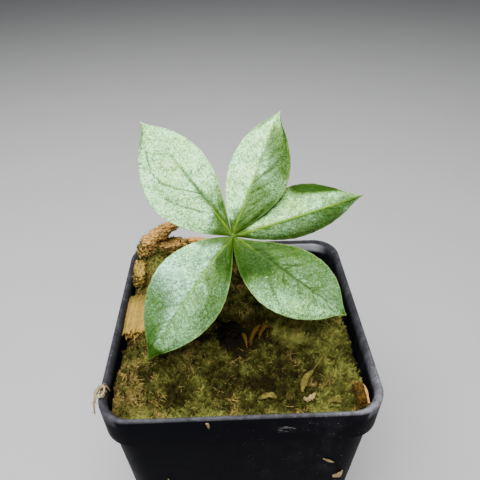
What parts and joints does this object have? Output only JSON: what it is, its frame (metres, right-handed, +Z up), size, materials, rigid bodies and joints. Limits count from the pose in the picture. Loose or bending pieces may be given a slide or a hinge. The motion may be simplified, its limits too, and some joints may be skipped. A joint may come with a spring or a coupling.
{
  "type": "potted elephant foot yam",
  "caption": "Young elephant foot yam: a palmate leaf on a slender leaning stalk, growing through moss and bark in a square black nursery pot.",
  "frame": {"origin": "middle of the pot's underside, on the surface that the pot stands on", "axes": "+Z up, -Y towards the front of the pot, which the leaf's upper face leans to, and +X to the right seen from the front"},
  "size_m": [0.082, 0.0801, 0.1327],
  "materials": {
    "black_plastic": "smooth black moulded plastic with a soft sheen and a little dust",
    "peat": "dark damp peat and bark",
    "tuber_skin": "rough brown tuber skin",
    "moss_green": "olive and brown moss tufts",
    "petiole_dark": "smooth dark green-brown stalk, slightly waxy",
    "leaf_green": "green leaf with a fine granular silvery sheen and a pale margin",
    "orange_bark": "rough orange-brown conifer bark",
    "pale_wood": "dry tan wood and coir fibres",
    "dark_bark": "dark red-brown bark",
    "dry_leaf": "dry straw-coloured leaf and moss strands"
  },
  "bodies": {
    "root": {"pot": "black_plastic", "growing_medium": "peat", "tuber": "tuber_skin", "moss": "moss_green", "petiole": "petiole_dark", "leaf_blade": "leaf_green", "bark_strip_back": "orange_bark", "bark_chunk_back": "orange_bark", "bark_shard_back": "orange_bark", "wood_chip_front_right": "orange_bark", "coir_lump_left": "pale_wood", "wood_chip_left": "pale_wood", "bark_sliver_1": "dark_bark", "bark_sliver_2": "dark_bark", "bark_sliver_3": "dark_bark", "pale_flake_1": "dry_leaf", "pale_flake_2": "dry_leaf", "pale_flake_3": "dry_leaf", "dry_leaf_scrap": "dry_leaf", "sphagnum_strand": "dry_leaf"}
  },
  "joints": []
}
